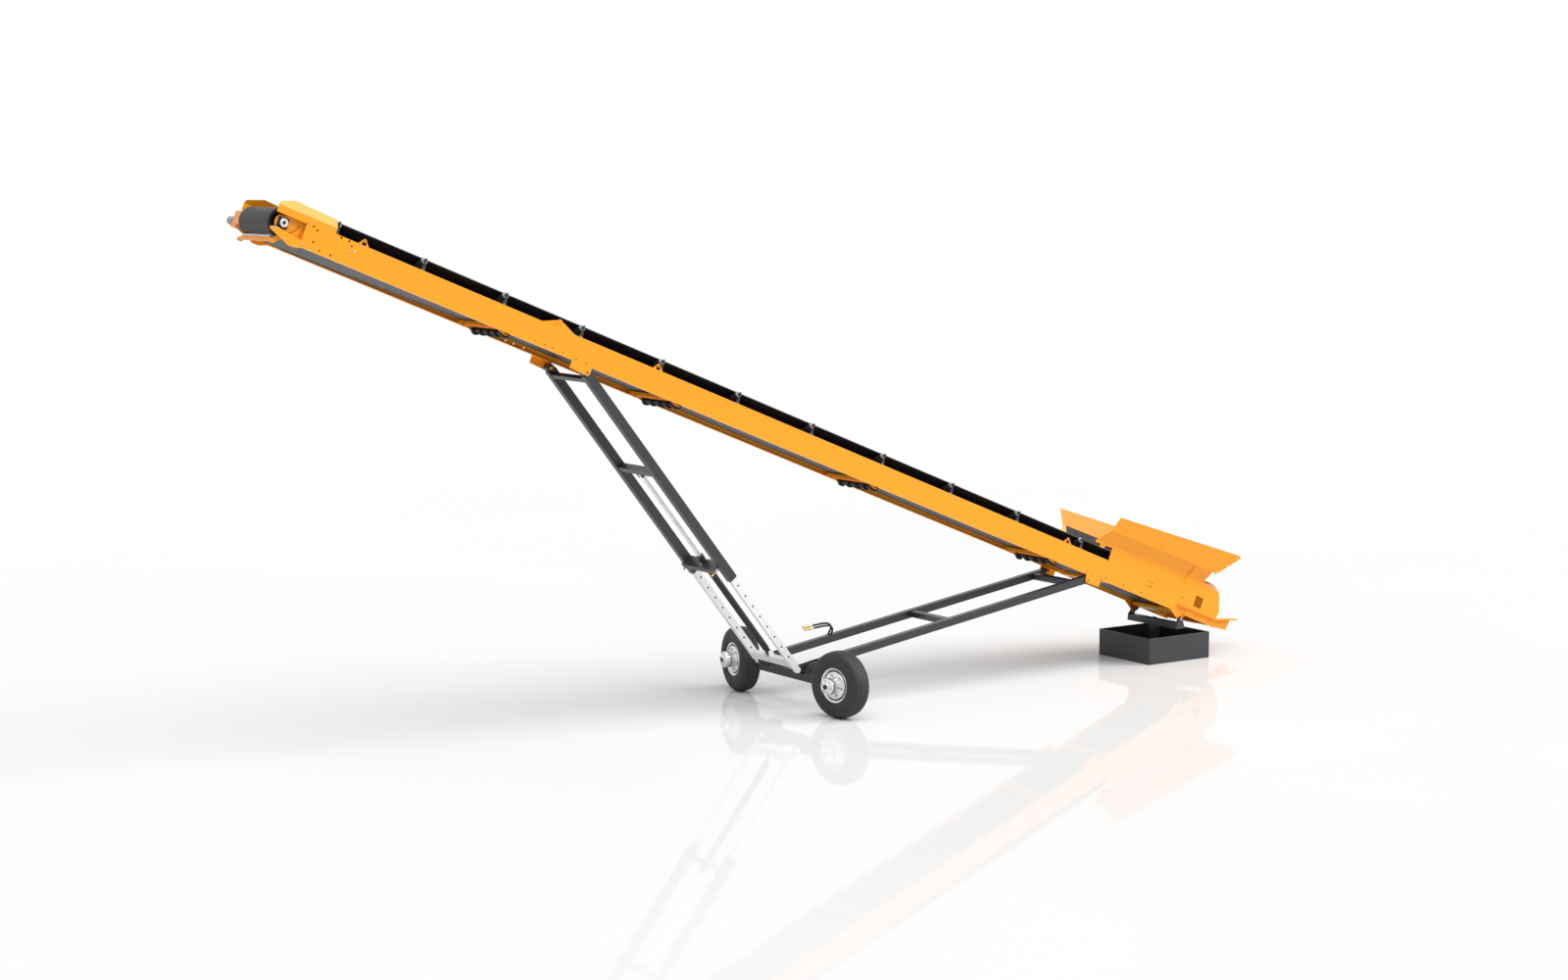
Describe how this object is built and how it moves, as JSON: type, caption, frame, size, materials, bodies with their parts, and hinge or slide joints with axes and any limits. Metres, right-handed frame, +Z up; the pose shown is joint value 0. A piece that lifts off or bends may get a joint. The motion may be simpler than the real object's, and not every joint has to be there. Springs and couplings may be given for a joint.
{
  "type": "portable belt conveyor",
  "caption": "Inclined troughed belt conveyor on a telescopic leg frame with swivelling wheels, folding head, feed hopper and a slewing ballast box.",
  "frame": {"origin": "on the floor under the slewing axis of the ballast box, at the centre of the box's underside", "axes": "+X toward the feed end and tow hitch, -X toward the raised head drum, -Y is the near side of the picture, +Z up"},
  "size_m": [15.4041, 3.1786, 6.6082],
  "materials": {
    "yellow_paint": "gloss",
    "dark_grey_paint": "satin",
    "black_paint": "satin",
    "galvanised_steel": "satin",
    "roller_steel": "satin",
    "wheel_silver": "satin",
    "chrome_rod": "polished",
    "motor_grey": "satin",
    "cast_bearing": "matt",
    "belt_rubber": "matt",
    "tyre_rubber": "matt"
  },
  "bodies": {
    "main_boom": {"channel_near": "yellow_paint", "channel_far": "yellow_paint", "tail_frame": "yellow_paint", "hopper_wing_near": "yellow_paint", "hopper_wing_far": "yellow_paint", "hopper_skirt_near": "belt_rubber", "hopper_skirt_far": "belt_rubber", "hopper_back": "yellow_paint", "tail_guard": "yellow_paint", "tail_drum": "black_paint", "carry_idler_1": "roller_steel", "carry_idler_2": "roller_steel", "carry_idler_3": "roller_steel", "carry_idler_4": "roller_steel", "carry_idler_5": "roller_steel", "carry_idler_6": "roller_steel", "carry_idler_7": "roller_steel", "carry_idler_8": "roller_steel", "carry_idler_9": "roller_steel", "carry_idler_10": "roller_steel", "return_idler_1": "roller_steel", "return_idler_2": "roller_steel", "return_idler_3": "roller_steel", "belt_main": "belt_rubber", "belt_fold": "belt_rubber"},
    "head_boom": {"head_channel_near": "yellow_paint", "head_channel_far": "yellow_paint", "head_guard_near": "yellow_paint", "head_guard_far": "yellow_paint", "head_idler_1": "roller_steel", "head_idler_2": "roller_steel", "head_idler_3": "roller_steel", "return_idler_head": "roller_steel", "belt_head": "belt_rubber", "head_drum": "black_paint", "head_bearing_near": "cast_bearing", "head_bearing_far": "cast_bearing", "drive_motor": "motor_grey", "belt_scraper": "yellow_paint"},
    "strut_frame": {"lower_frame": "dark_grey_paint", "axle_beam": "black_paint"},
    "outer_legs": {"leg_outer": "dark_grey_paint", "cylinder_rod": "chrome_rod"},
    "inner_legs": {"leg_inner": "galvanised_steel", "cylinder_barrel": "black_paint"},
    "swivel_near": {"swivel_bracket_near": "black_paint"},
    "swivel_far": {"swivel_bracket_far": "black_paint"},
    "wheel_near": {"wheel_rim_near": "wheel_silver", "wheel_tyre_near": "tyre_rubber"},
    "wheel_far": {"wheel_rim_far": "wheel_silver", "wheel_tyre_far": "tyre_rubber"},
    "feed_beam": {"swivel_beam": "dark_grey_paint"},
    "anchor_box": {"ballast_box": "dark_grey_paint"}
  },
  "joints": [
    {"name": "head_fold", "type": "hinge", "parent": "main_boom", "child": "head_boom", "pos_m": [-10.04437, 0, 5.14454], "axis": [0, 1, 0], "range_deg": [0, 150], "deforming": ["belt_fold"]},
    {"name": "strut_pivot", "type": "hinge", "parent": "main_boom", "child": "strut_frame", "pos_m": [-1.68593, 0, 1.307], "axis": [0, 1, 0], "range_deg": [0, 10]},
    {"name": "leg_pivot", "type": "hinge", "parent": "main_boom", "child": "outer_legs", "pos_m": [-9.67848, 0, 4.52486], "axis": [0, 1, 0], "range_deg": [-6.3, 0]},
    {"name": "leg_slide", "type": "slide", "parent": "outer_legs", "child": "inner_legs", "axis": [0.6177, 0, -0.7865], "range_m": [-0.685, 0]},
    {"name": "swivel_near_turn", "type": "hinge", "parent": "strut_frame", "child": "swivel_near", "pos_m": [-6.13014, -0.59964, 0.435], "axis": [0, 0, 1], "range_deg": [0, 79.8]},
    {"name": "swivel_far_turn", "type": "hinge", "parent": "strut_frame", "child": "swivel_far", "pos_m": [-6.13014, 0.59964, 0.435], "axis": [0, 0, 1], "range_deg": [-79.8, 0]},
    {"name": "wheel_near_spin", "type": "hinge", "parent": "swivel_near", "child": "wheel_near", "pos_m": [-6.364, -1.15, 0.433], "axis": [0.9841, 0.1778, 0], "continuous": true},
    {"name": "wheel_far_spin", "type": "hinge", "parent": "swivel_far", "child": "wheel_far", "pos_m": [-6.364, 1.15, 0.433], "axis": [0.9841, -0.1778, 0], "continuous": true},
    {"name": "tail_tilt", "type": "hinge", "parent": "main_boom", "child": "feed_beam", "pos_m": [0.03, 0, 0.6], "axis": [0, 1, 0], "range_deg": [-2, 10]},
    {"name": "box_slew", "type": "hinge", "parent": "feed_beam", "child": "anchor_box", "pos_m": [0, 0, 0.2], "axis": [0, 0, 1], "range_deg": [-90, 90]}
  ],
  "couplings": [
    {"joint": "leg_pivot", "follows": "strut_pivot", "ratio": -0.62912},
    {"joint": "leg_slide", "follows": "strut_pivot", "m_per_rad": -3.9166}
  ]
}
